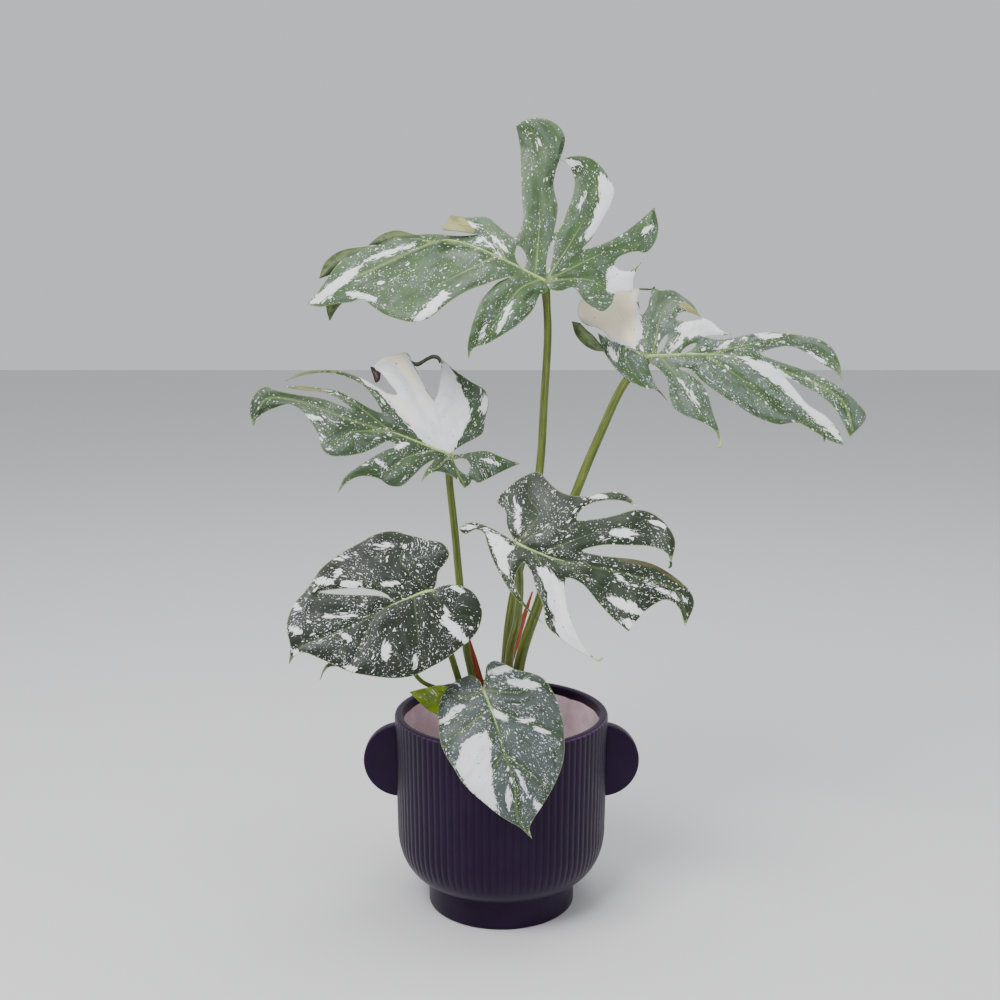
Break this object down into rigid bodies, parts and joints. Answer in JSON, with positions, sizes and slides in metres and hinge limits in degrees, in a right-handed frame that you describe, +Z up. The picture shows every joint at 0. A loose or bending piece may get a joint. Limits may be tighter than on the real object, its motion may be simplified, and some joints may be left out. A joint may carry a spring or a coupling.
{
  "type": "potted plant",
  "caption": "Potted variegated monstera: split and whole marbled green and white leaves on long stalks, in a dark fluted footed pot with a disc ear on each side",
  "frame": {"origin": "the middle of the pot foot's underside, where it stands", "axes": "+Z up; the plant faces -Y; +X is to the right as seen from its front, and the ears are on X"},
  "size_m": [0.5776, 0.2405, 0.7661],
  "materials": {
    "glaze": "satin dark glaze outside, bare pale clay inside",
    "potting_mix": "rough, crumbly",
    "stem_green": "dull, ringed",
    "leaf_green": "soft gloss, marbled and splashed with white",
    "petiole_green": "satin, finely ridged",
    "papery_brown": "dry, papery"
  },
  "bodies": {
    "root": {"pot": "glaze", "soil": "potting_mix", "stem_base": "stem_green", "leaf_top": "leaf_green", "leaf_right": "leaf_green", "leaf_left": "leaf_green", "leaf_middle": "leaf_green", "leaf_broad": "leaf_green", "leaf_front": "leaf_green", "leaf_young": "leaf_green", "leaf_hidden": "leaf_green", "petiole_top": "petiole_green", "petiole_right": "petiole_green", "petiole_left": "petiole_green", "petiole_middle": "petiole_green", "petiole_broad": "petiole_green", "petiole_front": "petiole_green", "petiole_young": "petiole_green", "petiole_hidden": "petiole_green", "sheath_left": "papery_brown", "sheath_right": "papery_brown"}
  },
  "joints": []
}
